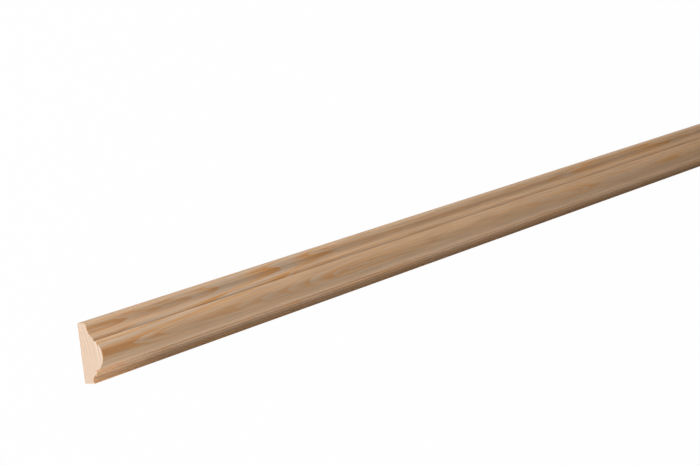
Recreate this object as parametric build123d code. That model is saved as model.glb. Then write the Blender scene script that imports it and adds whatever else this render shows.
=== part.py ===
"""Pine dado rail: one stick of planed softwood with a moulded face and a flat back.

The stick lies on its back. X runs along its length, Z rises from the back to the face, and
+Y points to the thin edge, which is uppermost when the rail is fixed to a wall. The origin
is the middle of the back. All sizes are in millimetres.
"""

import os

from build123d import *

# The stick as it is sold
stick_length = 2400.0
width = 45.0  # from the thin edge to the heel
thickness = 20.0  # from the back to the crown of the torus
arris_radius = 0.5  # the two long back corners, eased by the planer
lip_radius = 0.4  # the long corners of the face, as sharp as pine holds them

# The upper cove, between the thin edge and the upper fillet
nose_depth = 8.1  # the thin edge, out from the back
nose_radius = 3.2
upper_cove_run = 7.5

# The fillets, flat strips above and below the torus, which rise a little towards it
upper_lip_depth = 12.3  # where the upper fillet meets its cove
upper_fillet_run = 2.6
upper_fillet_rise = 1.1  # from its lip to the quirk, the sharp corner beside the torus
lower_lip_depth = 12.0
lower_fillet_run = 3.6
lower_fillet_rise = 0.4

# The torus, a bold round whose shoulder is tighter than its belly
upper_step = 0.7  # how far it starts in front of the upper quirk
lower_step = 2.0
crown_drop = 10.2  # from its upper step down to its crown
shoulder_radius = 9.8
shoulder_turn = 34.0  # degrees, from the crown to the flatter flank

# The lower cove, between the lower fillet and the heel
lower_cove_run = 6.6
lower_cove_hollow = 2.35  # how deep it is cut behind a straight bevel
heel_depth = 9.2

# Where each member of the face begins, measured down from the thin edge
upper_lip_drop = nose_radius + upper_cove_run
upper_step_drop = upper_lip_drop + upper_fillet_run
lower_lip_drop = width - lower_cove_run
lower_step_drop = lower_lip_drop - lower_fillet_run

# How far out each quirk lies
upper_quirk_depth = upper_lip_depth + upper_fillet_rise
lower_quirk_depth = lower_lip_depth + lower_fillet_rise


def at(drop, depth):
    """The point that is drop below the thin edge and depth out from the back."""
    return Vector(width / 2 - drop, depth)


def moulded_section():
    """The section, drawn round from the thin edge, over the face and back along the back."""
    thin_edge = Line(at(0, 0), at(0, nose_depth - nose_radius))
    nose = TangentArc(thin_edge @ 1, at(nose_radius, nose_depth), tangent=thin_edge % 1)
    upper_cove = TangentArc(nose @ 1, at(upper_lip_drop, upper_lip_depth), tangent=nose % 1)
    upper_fillet = Line(upper_cove @ 1, at(upper_step_drop, upper_quirk_depth))
    upper_face = Line(upper_fillet @ 1, at(upper_step_drop, upper_quirk_depth + upper_step))

    crown = at(upper_step_drop + crown_drop, thickness)
    shoulder = JernArc(crown, tangent=(1, 0), radius=shoulder_radius, arc_size=-shoulder_turn)
    flank = TangentArc(shoulder @ 1, upper_face @ 1, tangent=shoulder % 1)
    belly_end = at(lower_step_drop, lower_quirk_depth + lower_step)
    belly = TangentArc(crown, belly_end, tangent=(-1, 0))

    lower_face = Line(belly @ 1, at(lower_step_drop, lower_quirk_depth))
    lower_fillet = Line(lower_face @ 1, at(lower_lip_drop, lower_lip_depth))
    lower_cove = SagittaArc(lower_fillet @ 1, at(width, heel_depth), lower_cove_hollow)
    heel = Line(lower_cove @ 1, at(width, 0))
    back = Line(heel @ 1, thin_edge @ 0)

    face = [nose, upper_cove, upper_fillet, upper_face, flank, shoulder, belly]
    face += [lower_face, lower_fillet, lower_cove]
    section = make_face([thin_edge, *face, heel, back])

    arrises = [at(0, 0), at(width, 0)]
    lips = [upper_cove @ 1, upper_face @ 1, belly_end, lower_fillet @ 1, heel @ 0]
    section = fillet(corners(section, arrises), arris_radius)
    return fillet(corners(section, lips), lip_radius)


def corners(section, places):
    """The corners of the section that lie at the places."""
    return [section.vertices().sort_by_distance(place)[0] for place in places]


def moulding():
    """The section run out along the whole stick, half each way from the middle."""
    across = Plane.YZ * moulded_section()
    return extrude(across, stick_length / 2, both=True)


os.makedirs("parts", exist_ok=True)
export_step(moulding(), "parts/moulding.step")
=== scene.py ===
"""A stick of pine dado rail lying on its back on a white floor, seen from near its sawn end.

X runs along the stick, Z rises from its back to its moulded face, and +Y points to its thin
edge. Lengths are in metres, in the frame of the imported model.
"""

from math import atan2, inf, pi, radians, sin

import bpy
from mathutils import Matrix, Vector


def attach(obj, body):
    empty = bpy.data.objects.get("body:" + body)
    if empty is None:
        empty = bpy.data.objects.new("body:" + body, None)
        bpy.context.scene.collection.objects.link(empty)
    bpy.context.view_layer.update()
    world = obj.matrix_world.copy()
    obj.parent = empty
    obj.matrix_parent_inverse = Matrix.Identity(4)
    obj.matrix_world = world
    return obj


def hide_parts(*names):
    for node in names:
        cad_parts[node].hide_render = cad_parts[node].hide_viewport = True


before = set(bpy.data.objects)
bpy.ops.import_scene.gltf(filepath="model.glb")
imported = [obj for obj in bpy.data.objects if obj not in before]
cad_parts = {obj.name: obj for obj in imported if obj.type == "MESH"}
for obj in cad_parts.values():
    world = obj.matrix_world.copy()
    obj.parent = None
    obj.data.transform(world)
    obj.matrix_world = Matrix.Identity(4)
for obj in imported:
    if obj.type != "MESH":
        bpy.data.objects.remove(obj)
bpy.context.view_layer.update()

# The stick: one length of planed softwood. A moulder runs it through shaped cutters, which
# leave a thin edge, a cove, a fillet, a bold torus, a second fillet, a hollow and a heel over
# a flat back. A saw then cuts it square.

mm = 0.001
stick_length = 2400 * mm
width = 45 * mm
thickness = 20 * mm
nose_depth = 8.1 * mm
nose_radius = 3.2 * mm
upper_cove_run = 7.5 * mm
upper_lip_depth = 12.3 * mm
upper_fillet_run = 2.6 * mm
upper_fillet_rise = 1.1 * mm
upper_step = 0.7 * mm
crown_drop = 10.2 * mm
shoulder_radius = 9.8 * mm
shoulder_turn = radians(34)
lower_step = 2 * mm
lower_lip_depth = 12 * mm
lower_fillet_run = 3.6 * mm
lower_fillet_rise = 0.4 * mm
lower_cove_run = 6.6 * mm
lower_cove_hollow = 2.35 * mm
heel_depth = 9.2 * mm
arris_radius = 0.5 * mm
lip_radius = 0.4 * mm
sawn_edge = 0.15 * mm  # the fuzz of the saw, rubbed off

upper_lip_drop = nose_radius + upper_cove_run
upper_step_drop = upper_lip_drop + upper_fillet_run
lower_lip_drop = width - lower_cove_run
lower_step_drop = lower_lip_drop - lower_fillet_run
upper_quirk_depth = upper_lip_depth + upper_fillet_rise
lower_quirk_depth = lower_lip_depth + lower_fillet_rise

# How many faces lie along the stick, round each arc of its section and over each eased corner
bays = 48
nose_faces = 6
cove_faces = 10
flank_faces = 8
shoulder_faces = 8
belly_faces = 16
eased_faces = 3
smooth_under = radians(35)
same_place = 1e-6


def at(drop, depth):
    """The point of the section that is drop below the thin edge and depth out from the back."""
    return Vector((0, width / 2 - drop, depth))


def turned(heading, angle):
    """A heading in the section, turned anticlockwise as seen from the far end."""
    return Matrix.Rotation(angle, 3, "X") @ heading


def turn_from(heading, chord):
    """The angle from a heading to a chord."""
    return atan2(heading.y * chord.z - heading.z * chord.y, heading.dot(chord))


def run_to(here, there):
    """Carries the selected row of edges straight on."""
    bpy.ops.mesh.extrude_region_move(TRANSFORM_OT_translate={"value": there - here})


def sweep_to(here, there, heading, faces):
    """Carries the selected row of edges round the arc that leaves along the heading.

    Returns the heading that the arc ends with.
    """
    chord = there - here
    half_turn = turn_from(heading, chord)
    radius = chord.length / (2 * sin(half_turn))
    centre = here + radius * turned(heading, pi / 2)
    bpy.ops.mesh.spin(steps=faces, angle=-2 * half_turn, center=centre, axis=(1, 0, 0))
    return turned(heading, 2 * half_turn)


bpy.ops.object.select_all(action="DESELECT")
bpy.ops.mesh.primitive_grid_add(x_subdivisions=bays, y_subdivisions=1, size=1)
stick = bpy.context.object
stick.name = "pine_dado_rail"
straight_edge = nose_depth - nose_radius
bpy.ops.transform.resize(value=(stick_length, straight_edge, 1))
bpy.ops.object.transform_apply(location=False, rotation=False, scale=True)
stick.rotation_euler.x = pi / 2
stick.location = at(0, straight_edge / 2)
bpy.ops.object.transform_apply(location=True, rotation=True, scale=False)


def select_rows(places):
    """Selects the rows of edges that run along the stick through these places."""
    bpy.ops.object.mode_set(mode="OBJECT")
    points = stick.data.vertices
    for part in (*points, *stick.data.polygons):
        part.select = False
    for edge in stick.data.edges:
        ends = [Vector((0, *points[i].co.yz)) for i in edge.vertices]
        edge.select = any(all((e - p).length < same_place for e in ends) for p in places)
    bpy.ops.object.mode_set(mode="EDIT")


bpy.ops.object.mode_set(mode="EDIT")
bpy.ops.mesh.select_mode(type="EDGE")
select_rows([at(0, straight_edge)])

nose = at(nose_radius, nose_depth)
heading = sweep_to(at(0, straight_edge), nose, Vector((0, 0, 1)), nose_faces)
upper_lip = at(upper_lip_drop, upper_lip_depth)
sweep_to(nose, upper_lip, heading, cove_faces)
upper_quirk = at(upper_step_drop, upper_quirk_depth)
run_to(upper_lip, upper_quirk)
torus_top = at(upper_step_drop, upper_quirk_depth + upper_step)
run_to(upper_quirk, torus_top)

# The shoulder is fixed from the crown, where the round lies level, so the flank before it
# leaves the torus at whatever angle lets it meet the shoulder smoothly.
crown = at(upper_step_drop + crown_drop, thickness)
shoulder_back = (sin(shoulder_turn / 2) * 2 * shoulder_radius) * turned(
    Vector((0, 1, 0)), -shoulder_turn / 2
)
shoulder_start = crown + shoulder_back
shoulder_heading = turned(Vector((0, -1, 0)), -shoulder_turn)
flank_turn = turn_from(shoulder_start - torus_top, shoulder_heading)
flank_heading = turned(shoulder_heading, -2 * flank_turn)
sweep_to(torus_top, shoulder_start, flank_heading, flank_faces)
heading = sweep_to(shoulder_start, crown, shoulder_heading, shoulder_faces)
torus_end = at(lower_step_drop, lower_quirk_depth + lower_step)
sweep_to(crown, torus_end, heading, belly_faces)

lower_quirk = at(lower_step_drop, lower_quirk_depth)
run_to(torus_end, lower_quirk)
lower_lip = at(lower_lip_drop, lower_lip_depth)
run_to(lower_quirk, lower_lip)
heel_top = at(width, heel_depth)
half_hollow = 2 * atan2(2 * lower_cove_hollow, (heel_top - lower_lip).length)
heading = turned((heel_top - lower_lip).normalized(), half_hollow)
sweep_to(lower_lip, heel_top, heading, cove_faces)
run_to(heel_top, at(width, 0))
run_to(at(width, 0), at(0, 0))
bpy.ops.mesh.select_all(action="SELECT")
bpy.ops.mesh.remove_doubles(threshold=same_place)

# The cutters leave the lips nearly sharp, and the planer eases the two back corners.
select_rows([upper_lip, torus_top, torus_end, lower_lip, heel_top])
bpy.ops.mesh.bevel(offset=lip_radius, offset_type="WIDTH", segments=eased_faces)
select_rows([at(0, 0), at(width, 0)])
bpy.ops.mesh.bevel(offset=arris_radius, offset_type="WIDTH", segments=eased_faces)

# The saw leaves two flat ends, whose edges are rubbed soft.
bpy.ops.mesh.select_all(action="DESELECT")
bpy.ops.mesh.select_non_manifold()
bpy.ops.mesh.edge_face_add()
bpy.ops.mesh.region_to_loop()
bpy.ops.mesh.bevel(offset=sawn_edge, offset_type="WIDTH", segments=1)
bpy.ops.mesh.select_all(action="SELECT")
bpy.ops.mesh.normals_make_consistent(inside=False)

# A flat map of the surface, for copies of the stick whose look is baked. It is cut open along
# one back corner, round the two ends and into four lengths, so that it fills a square.
bpy.ops.object.mode_set(mode="OBJECT")
stick.data.uv_layers[0].name = "OFBake"
island_gap = 0.002
cuts = (-stick_length / 4, 0, stick_length / 4)
spots = [point.co for point in stick.data.vertices]
back_corner = max(spot.y for spot in spots if spot.z < same_place)
end_cut = max(abs(spot.x) for spot in spots if abs(spot.x) < stick_length / 2 - same_place)
for edge in stick.data.edges:
    a, b = [spots[i] for i in edge.vertices]
    goes_round = abs(a.x - b.x) < same_place
    at_cut = any(abs(a.x - cut) < same_place for cut in (*cuts, -end_cut, end_cut))
    on_corner = all(p.z < same_place and abs(p.y - back_corner) < same_place for p in (a, b))
    edge.use_seam = goes_round and at_cut or on_corner
bpy.ops.object.mode_set(mode="EDIT")
bpy.ops.mesh.select_all(action="SELECT")
bpy.ops.uv.unwrap(method="ANGLE_BASED", margin=island_gap)
bpy.ops.uv.average_islands_scale()
bpy.ops.uv.pack_islands(rotate=True, margin=island_gap)
bpy.ops.object.mode_set(mode="OBJECT")
bpy.ops.object.shade_smooth_by_angle(angle=smooth_under)

# Planed pine: a plain-sawn board from outside the heart, whose yearly rings rise through the
# moulded face. Pale greyish earlywood darkens to an orange-brown line of latewood and starts
# pale again at a sharp edge. Planing leaves it matt, with a faint sheen and cutter ripple.

pith_drop = 34.5 * mm
pith_behind = 80 * mm

# How far from the pith each year's growth ends at the near end, in millimetres, and how dark
# its last wood is, from 0 to 1. The years are uneven, as weather is. The first only says where
# the rings begin.
years = [
    (78.4, 0.3),
    (79.8, 0.4),
    (81.3, 0.6),
    (82.6, 0.4),
    (84.2, 0.7),
    (85.3, 0.5),
    (86.9, 0.6),
    (88.1, 0.4),
    (89.8, 0.7),
    (90.9, 0.5),
    (92.4, 0.6),
    (93.55, 0.95),
    (94.3, 0.4),
    (95.1, 0.35),
    (95.9, 0.75),
    (98.2, 1.0),
    (100.95, 1.0),
    (101.5, 0.65),
    (103.5, 0.22),
    (104.5, 0.32),
    (105.4, 0.55),
    (106.8, 0.4),
    (108.25, 0.7),
    (108.6, 0.55),
    (110.2, 0.3),
    (112.0, 0.4),
    (113.6, 0.4),
    (115.5, 0.4),
]
first_year = years[0][0]
last_year = years[-1][0]
growths = len(years) - 1

# How far the trunk's taper and bend shift the rings towards the pith, in millimetres, at
# millimetres from the near end.
shifts = [
    (0, 0),
    (25, 0.02),
    (38, 0.31),
    (75, 0.95),
    (108, 1.62),
    (150, 2.5),
    (187, 3.4),
    (211, 4.1),
    (250, 5.2),
    (275, 6.4),
    (314, 7.75),
    (340, 8.0),
    (375, 8.05),
    (413, 8.2),
    (440, 8.5),
    (490, 9.8),
    (570, 10.3),
    (630, 9.9),
    (702, 8.5),
    (768, 7.9),
    (860, 6.6),
    (960, 7.25),
    (1080, 8.6),
    (1300, 10.5),
    (1600, 5.0),
    (1850, 3.0),
    (2150, 8.0),
    (2400, 10.0),
]
most_shift = 12


def linear(hex_colour):
    """A hex sRGB colour as linear light."""
    parts = [int(hex_colour[i : i + 2], 16) / 255 for i in (1, 3, 5)]
    return [c / 12.92 if c <= 0.04045 else ((c + 0.055) / 1.055) ** 2.4 for c in parts] + [1]


def add(tree, kind, inputs, **settings):
    """Adds a node to the tree, with its settings, and sets or links its inputs."""
    node = tree.nodes.new("ShaderNode" + kind)
    for name, value in settings.items():
        setattr(node, name, value)
    sockets = [s for s in node.inputs if s.enabled]
    for name, value in inputs.items():
        socket = sockets[name] if isinstance(name, int) else next(s for s in sockets if s.name == name)
        if isinstance(value, bpy.types.Node):
            value = next(s for s in value.outputs if s.enabled)
        if isinstance(value, bpy.types.NodeSocket):
            tree.links.new(value, socket)
        else:
            socket.default_value = value
    return node


pine = bpy.data.materials.new("planed pine")
pine.use_nodes = True
wood = pine.node_tree
surface = wood.nodes["Principled BSDF"]

# Millimetres along the stick from its near end, and across and out from the pith
object_place = add(wood, "TexCoord", {}).outputs["Object"]
from_pith = add(
    wood,
    "Mapping",
    {
        "Vector": object_place,
        "Location": (stick_length / 2 / mm, (pith_drop - width / 2) / mm, pith_behind / mm),
        "Scale": (1 / mm, 1 / mm, 1 / mm),
    },
)
place = add(wood, "SeparateXYZ", {"Vector": from_pith})
across = add(wood, "Mapping", {"Vector": from_pith, "Scale": (0, 1, 1)})
radius = add(wood, "VectorMath", {"Vector": across}, operation="LENGTH").outputs["Value"]

# How far along the stick a point is, and how far down from its thin edge, both from 0 to 1
along = add(wood, "Math", {0: place.outputs["X"], 1: stick_length / mm}, operation="DIVIDE")
drop_share = add(
    wood,
    "MapRange",
    {
        "Value": place.outputs["Y"],
        "From Min": pith_drop / mm,
        "From Max": (pith_drop - width) / mm,
    },
)


def grain_noise(long, wide, deep, detail):
    """Adds noise whose blobs are this many millimetres along, across and out from the pith."""
    stretched = add(wood, "Mapping", {"Vector": from_pith, "Scale": (1 / long, 1 / wide, 1 / deep)})
    return add(wood, "TexNoise", {"Vector": stretched, "Scale": 1, "Detail": detail})


# Uneven growth makes the rings wander, and their edges are ragged, by these millimetres.
wander_range = 0.5
ragged_range = 0.35
wander = grain_noise(60, 9, 9, 1)
ragged = grain_noise(12, 1.6, 1.6, 2)
wandered = add(wood, "Math", {0: wander, 1: wander_range, 2: radius}, operation="MULTIPLY_ADD")
rough_edged = add(wood, "Math", {0: ragged, 1: ragged_range, 2: wandered}, operation="MULTIPLY_ADD")
shift_curve = add(wood, "FloatCurve", {"Value": along})
shifted = add(wood, "Math", {0: shift_curve, 1: most_shift, 2: rough_edged}, operation="MULTIPLY_ADD")
mean_ragging = (wander_range + ragged_range) / 2
reach = add(
    wood,
    "MapRange",
    {
        "Value": shifted,
        "From Min": first_year + mean_ragging,
        "From Max": last_year + mean_ragging,
    },
)
age_curve = add(wood, "FloatCurve", {"Value": reach})
age = add(wood, "Math", {0: age_curve, 1: growths}, operation="MULTIPLY")
season = add(wood, "Math", {0: age}, operation="FRACT")
year = add(wood, "Math", {0: age}, operation="FLOOR")
year_share = add(wood, "Math", {0: year, 1: growths}, operation="DIVIDE")
dark_curve = add(wood, "FloatCurve", {"Value": year_share})

# How dark the wood is through one year, from its first growth to its last
seasons = [(0.35, 0.12), (0.6, 0.42), (0.84, 0.95), (0.94, 1.0), (0.98, 0.9)]
first_growth = 0.12
latewood = add(wood, "ValToRGB", {"Fac": season})
ramp = latewood.color_ramp
ramp.elements[0].position = first_growth
ramp.elements[0].color = (0, 0, 0, 1)
ramp.elements[1].color = (0, 0, 0, 1)
for part_of_year, shade in seasons:
    stop = ramp.elements.new(part_of_year)
    stop.color = (shade, shade, shade, 1)

# The rings pale over the crown, from one of these places to the other in millimetres below the
# thin edge, and stay pale to the heel. They also pale and darken along the stick, at
# millimetres from the near end.
bold_down_to = 21
pale_from = 28
pale_rings = 0.3
contrasts = [(0, 1), (300, 1), (440, 0.5), (650, 0.5), (710, 1), (800, 0.8), (1100, 0.7), (2400, 0.9)]
plain_season = 0.38  # the darkness of wood whose rings don't show
heel_pale = add(
    wood,
    "MapRange",
    {
        "Value": place.outputs["Y"],
        "From Min": pith_drop / mm - pale_from,
        "From Max": pith_drop / mm - bold_down_to,
        "To Min": pale_rings,
        "To Max": 1,
    },
)
contrast_curve = add(wood, "FloatCurve", {"Value": along})
boldness = add(wood, "Math", {0: dark_curve, 1: heel_pale}, operation="MULTIPLY")
boldness = add(wood, "Math", {0: boldness, 1: contrast_curve}, operation="MULTIPLY")
off_plain = add(wood, "Math", {0: latewood, 1: plain_season}, operation="SUBTRACT")
rings = add(wood, "Math", {0: off_plain, 1: boldness, 2: plain_season}, operation="MULTIPLY_ADD")

# Resin and uneven growth streak the wood along its grain. How warm the streaked wood is, at
# millimetres below the thin edge: it is greyer along the thin edge and from the belly to the
# lower fillet, and warmer in the hollow and on the heel. The warmth is partly the wood's own
# resin and, in the hollow and on the heel, partly painted warm shade.
streak_range = 0.85
resin_and_shade_tints = [(0, 0.4), (3.5, 0.4), (6, 0.5), (24, 0.5), (28, 0.38), (37.5, 0.34), (39.5, 0.58), (45, 0.58)]
mean_resin_and_shade_tint = 0.5
mean_rise = streak_range / 2 + mean_resin_and_shade_tint
grey_earlywood = linear("#B2977C")
orange_latewood = linear("#B68147")
streak = grain_noise(90, 1.7, 1.7, 2)
# This curve also paints warm shade into the hollow and the heel.
resin_and_shade_curve = add(wood, "FloatCurve", {"Value": drop_share})
figure = add(wood, "Math", {0: streak, 1: streak_range, 2: rings}, operation="MULTIPLY_ADD")
figure = add(wood, "Math", {0: figure, 1: resin_and_shade_curve})
figure = add(wood, "Math", {0: figure, 1: mean_rise}, operation="SUBTRACT", use_clamp=True)
ringed = add(
    wood,
    "Mix",
    {"Factor": figure, "A": grey_earlywood, "B": orange_latewood},
    data_type="RGBA",
)

# Where a ring lies flat in the surface its latewood is broad and brown, most of all near the
# sawn end and above the belly. How brown it is, at millimetres from that end:
browns = [(0, 0.9), (35, 0.9), (75, 0.3), (200, 0.3), (320, 0.4), (450, 0.15), (2400, 0.15)]
almost_flat = 0.95
quite_flat = 0.99
most_brown = 0.85
brown_latewood = linear("#A8774D")
outwards = add(wood, "VectorMath", {0: across}, operation="NORMALIZE")
facing = add(wood, "TexCoord", {}).outputs["Normal"]
level = add(wood, "VectorMath", {0: facing, 1: outwards}, operation="DOT_PRODUCT").outputs["Value"]
flat_cut = add(
    wood,
    "MapRange",
    {"Value": level, "From Min": almost_flat, "From Max": quite_flat, "To Max": most_brown},
)
brown_curve = add(wood, "FloatCurve", {"Value": along})
browned = add(wood, "Math", {0: flat_cut, 1: brown_curve}, operation="MULTIPLY")
browned = add(wood, "Math", {0: browned, 1: latewood}, operation="MULTIPLY")
browned = add(wood, "Math", {0: browned, 1: heel_pale}, operation="MULTIPLY")
colour = add(
    wood,
    "Mix",
    {"Factor": browned, "A": ringed, "B": brown_latewood},
    data_type="RGBA",
)

# How much painted light and shade scales the wood's colour for its place across the stick, at
# millimetres below the thin edge. It stands in for the light and shade of the moulding. Painted
# shade darkens the upper quirk all along. Near the sawn end painted light makes the wood pale
# from the belly down. Farther along, painted light keeps the lower fillet pale, and painted shade
# darkens the upper cove and the lower lip.
near_painted_shading = [
    (0, 1.08),
    (2.5, 1.08),
    (3.3, 1.15),
    (5, 1.1),
    (8, 1),
    (12, 1),
    (12.5, 0.74),
    (13.1, 0.74),
    (13.4, 1),
    (17, 1),
    (19, 0.94),
    (21.5, 0.98),
    (26, 1),
    (30, 1.1),
    (34.4, 1.08),
    (35, 1.8),
    (36.4, 1.9),
    (37.2, 1.7),
    (38.4, 1.15),
    (39.5, 1.25),
    (41, 1.75),
    (45, 1.55),
]
far_painted_shading = [
    (0, 1),
    (2.5, 1.03),
    (3.3, 1.2),
    (4.2, 1.1),
    (5.2, 0.84),
    (7.5, 0.84),
    (9, 0.92),
    (10.8, 1),
    (11.4, 1.1),
    (12.2, 1.08),
    (12.6, 0.74),
    (13.3, 0.74),
    (13.6, 1),
    (29, 1),
    (32, 1.02),
    (34.4, 0.97),
    (35, 1.25),
    (36.4, 1.32),
    (37.1, 1.65),
    (37.7, 1.1),
    (38.3, 0.62),
    (39.2, 0.52),
    (39.9, 0.8),
    (40.6, 1),
    (44, 1),
    (45, 0.75),
]
most_painted_shading = 2

# The first list gives way to the second between these places, in millimetres from the near end.
near_stretch_end = 15
far_stretch_start = 85
near_painted_shading_curve = add(wood, "FloatCurve", {"Value": drop_share})
far_painted_shading_curve = add(wood, "FloatCurve", {"Value": drop_share})
inland = add(
    wood,
    "MapRange",
    {
        "Value": place.outputs["X"],
        "From Min": near_stretch_end,
        "From Max": far_stretch_start,
    },
)
light = add(wood, "Mix", {"Factor": inland, "A": near_painted_shading_curve, "B": far_painted_shading_curve})
light = add(wood, "Math", {0: light, 1: most_painted_shading}, operation="MULTIPLY")

# The flat back is plain, so the painted light and shade fade out from one of these depths to the other.
face_depth = 6
back_depth = 1
over_back = add(
    wood,
    "MapRange",
    {
        "Value": place.outputs["Z"],
        "From Min": pith_behind / mm + back_depth,
        "From Max": pith_behind / mm + face_depth,
    },
)
light = add(wood, "Mix", {"Factor": over_back, "A": 1, "B": light})
# Here the painted light and shade scale the wood's colour.
colour = add(wood, "VectorMath", {0: colour, "Scale": light}, operation="SCALE")

# Fibres run along the stick. Real ones are finer than a tenth of a millimetre, and they are
# drawn as bundles nearly a millimetre wide so that they show.
bundle = 1 / 1.2
fibre_contrast = 0.14
noise_low = 0.3  # noise seldom leaves this range
noise_high = 0.7
fibre = grain_noise(45, bundle, bundle, 3)
fibre_light = add(
    wood,
    "MapRange",
    {
        "Value": fibre,
        "From Min": noise_low,
        "From Max": noise_high,
        "To Min": 1 - fibre_contrast,
        "To Max": 1 + fibre_contrast,
    },
)
fibred = add(wood, "VectorMath", {0: colour, "Scale": fibre_light}, operation="SCALE")

# The sawn ends cut every fibre open, which scatters light and looks much paler, with open
# pores and the faint strokes of the saw. Real pores are a few hundredths of a millimetre wide,
# and they are drawn ten times as wide so that they show.
squarely = 0.9  # how squarely a face looks along the stick where it is a sawn end
sawn_earlywood = linear("#C3B5A7")
sawn_latewood = linear("#A1744A")
pore = 1 / 2.2
darkest_cut = 0.965
palest_cut = 1.03
facing_parts = add(wood, "SeparateXYZ", {"Vector": facing})
end_facing = add(wood, "Math", {0: facing_parts.outputs["X"]}, operation="ABSOLUTE")
is_end = add(wood, "Math", {0: end_facing, 1: squarely}, operation="GREATER_THAN")
end_colour = add(
    wood,
    "Mix",
    {"Factor": rings, "A": sawn_earlywood, "B": sawn_latewood},
    data_type="RGBA",
)

# Only the two ends show the pores and strokes, so they needn't vary along the stick.
pores = grain_noise(inf, pore, pore, 2)
strokes = grain_noise(inf, 0.9, 20, 1)
sawn = add(wood, "Math", {0: pores, 1: strokes})
sawn_light = add(
    wood,
    "MapRange",
    {
        "Value": sawn,
        "From Min": 2 * noise_low,
        "From Max": 2 * noise_high,
        "To Min": darkest_cut,
        "To Max": palest_cut,
    },
)
end_colour = add(wood, "VectorMath", {0: end_colour, "Scale": sawn_light}, operation="SCALE")
shown = add(wood, "Mix", {"Factor": is_end, "A": fibred, "B": end_colour}, data_type="RGBA")
wood.links.new(next(s for s in shown.outputs if s.enabled), surface.inputs["Base Color"])
surface.inputs["IOR"].default_value = 1.5

# Latewood is denser than the rest, so the cutters leave it smoother and a little proud. The
# relief is in millimetres, and the ripple has a crest for each stroke of the cutters.
earlywood_roughness = 0.64
latewood_roughness = 0.54
ridge = 0.03
fibre_relief = 0.015
ripple_pitch = 2.4
ripple_depth = 0.004
roughness = add(
    wood,
    "MapRange",
    {"Value": figure, "To Min": earlywood_roughness, "To Max": latewood_roughness},
)
wood.links.new(roughness.outputs["Result"], surface.inputs["Roughness"])
ripple = add(wood, "Math", {0: place.outputs["X"], 1: 2 * pi / ripple_pitch}, operation="MULTIPLY")
ripple = add(wood, "Math", {0: ripple}, operation="SINE")
relief = add(wood, "Math", {0: ripple, 1: ripple_depth / 2}, operation="MULTIPLY")
relief = add(wood, "Math", {0: figure, 1: ridge, 2: relief}, operation="MULTIPLY_ADD")
relief = add(wood, "Math", {0: fibre, 1: fibre_relief, 2: relief}, operation="MULTIPLY_ADD")
bumped = add(wood, "Bump", {"Height": relief, "Strength": 1, "Distance": mm})
wood.links.new(bumped.outputs["Normal"], surface.inputs["Normal"])


def shares(pairs, whole, most):
    """The pairs of millimetres and amounts, as shares of the whole length and the most amount."""
    return [(run * mm / whole, amount / most) for run, amount in pairs]


# The lists above become the points of the curves.
ages = [((end - first_year) / (last_year - first_year), i / growths) for i, (end, _) in enumerate(years)]
curves = [
    (shift_curve, shares(shifts, stick_length, most_shift)),
    (contrast_curve, shares(contrasts, stick_length, 1)),
    (brown_curve, shares(browns, stick_length, 1)),
    (age_curve, ages),
    (dark_curve, [(i / growths, dark) for i, (_, dark) in enumerate(years[1:])]),
    (resin_and_shade_curve, shares(resin_and_shade_tints, width, 1)),
    (near_painted_shading_curve, shares(near_painted_shading, width, most_painted_shading)),
    (far_painted_shading_curve, shares(far_painted_shading, width, most_painted_shading)),
]
for node, pairs in curves:
    points = node.mapping.curves[0].points
    points[0].location = pairs[0]
    points[1].location = (1, pairs[-1][1])
    for pair in pairs[1:]:
        if pair[0] < 1:
            points.new(*pair)
    for point in points:
        point.handle_type = "AUTO" if node is shift_curve else "VECTOR"
    node.mapping.update()

stick.data.materials.append(pine)
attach(stick, "root")
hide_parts("moulding")

# The floor is a wide sheet of white paper under the stick. The camera sees it as nearly pure
# white, with a trace of the stick's shadow, and it bounces light on the stick as pale paper
# does.

floor_size = 14
whiteness = 0.985
bpy.ops.object.select_all(action="DESELECT")
bpy.ops.mesh.primitive_plane_add(size=floor_size)
floor = bpy.context.object
floor.name = "floor"
sheet = bpy.data.materials.new("white paper")
sheet.use_nodes = True
paper = sheet.node_tree
paper.nodes.clear()
matt = add(paper, "BsdfDiffuse", {"Color": linear("#C8C8C8")})
bright = add(paper, "Emission", {"Strength": 1})
ray = add(paper, "LightPath", {}).outputs
seen = add(paper, "Math", {0: ray["Is Camera Ray"], 1: ray["Is Glossy Ray"]}, operation="MAXIMUM")
seen = add(paper, "Math", {0: seen, 1: ray["Is Transmission Ray"]}, operation="MAXIMUM")
seen = add(paper, "Math", {0: seen, 1: whiteness}, operation="MULTIPLY")
mixed = add(paper, "MixShader", {0: seen, 1: matt, 2: bright})
add(paper, "OutputMaterial", {"Surface": mixed})
floor.data.materials.append(sheet)

# The light comes from softboxes on the side of the thin edge and beyond the near end, which
# graze the stick and bring out its moulding. Weaker ones reach the lower hollow, the heel and
# the half that the camera doesn't see, and a dim white room fills the rest.

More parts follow.
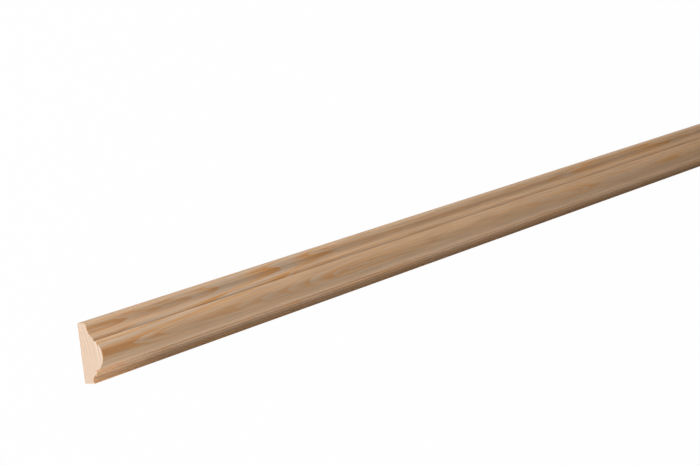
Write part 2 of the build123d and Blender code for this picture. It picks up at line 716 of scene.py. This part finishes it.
room_strength = 0.085
world = bpy.data.worlds.new("studio")
bpy.context.scene.world = world
world.use_nodes = True
room = world.node_tree
ray = add(room, "LightPath", {}).outputs
room_light = add(
    room,
    "MapRange",
    {"Value": ray["Is Camera Ray"], "To Min": room_strength, "To Max": 1},
)
backdrop = room.nodes["Background"]
backdrop.inputs["Color"].default_value = linear("#FFFFFF")
room.links.new(room_light.outputs["Result"], backdrop.inputs["Strength"])

seen_part = (-0.9, 0, 0.01)  # the middle of the stretch that the camera sees
far_part = (1, 0, 0.01)


def softbox(name, place, lit, length, height, power, spread=pi):
    """Adds a softbox at a place, level along its length and facing the lit part of the stick."""
    bpy.ops.object.light_add(type="AREA", location=place)
    lamp = bpy.context.object
    lamp.name = name
    lamp.rotation_euler = (Vector(lit) - Vector(place)).to_track_quat("-Z", "Y").to_euler()
    lamp.visible_camera = False
    lamp.data.shape = "RECTANGLE"
    lamp.data.size = length
    lamp.data.size_y = height
    lamp.data.energy = power
    lamp.data.spread = spread


softbox("thin_edge_light", (-0.72, 1.41, 0.75), seen_part, 2.0, 0.3, 22.5)
softbox("near_end_light", (-2.5, 0.35, 0.35), seen_part, 0.5, 0.6, 25)
softbox("low_heel_light", (-1.6, -1.6, 0.11), seen_part, 1.6, 0.15, 24)
softbox("high_heel_light", (-0.65, -1.25, 1.0), seen_part, 1.8, 0.3, 10)
softbox("far_light", (1, 0.4, 0.9), far_part, 0.8, 0.3, 1.8, radians(70))

# The camera looks down on the near end of the stick, turned so that the stick crosses the
# picture from the left edge to the right, where the picture cuts it off.

aim = Vector((-0.831, 0.0248, 0))
eye = Vector((-2.418, 0.2739, 1.0532))
camera_roll = radians(88.3)
bpy.ops.object.camera_add(location=eye)
camera = bpy.context.object
upright = (aim - eye).to_track_quat("-Z", "Y").to_matrix()
camera.rotation_euler = (upright @ Matrix.Rotation(camera_roll, 3, "Z")).to_euler()
camera.data.lens = 114.67
camera.data.sensor_width = 36
bpy.context.scene.camera = camera
bpy.context.scene.view_settings.view_transform = "Standard"
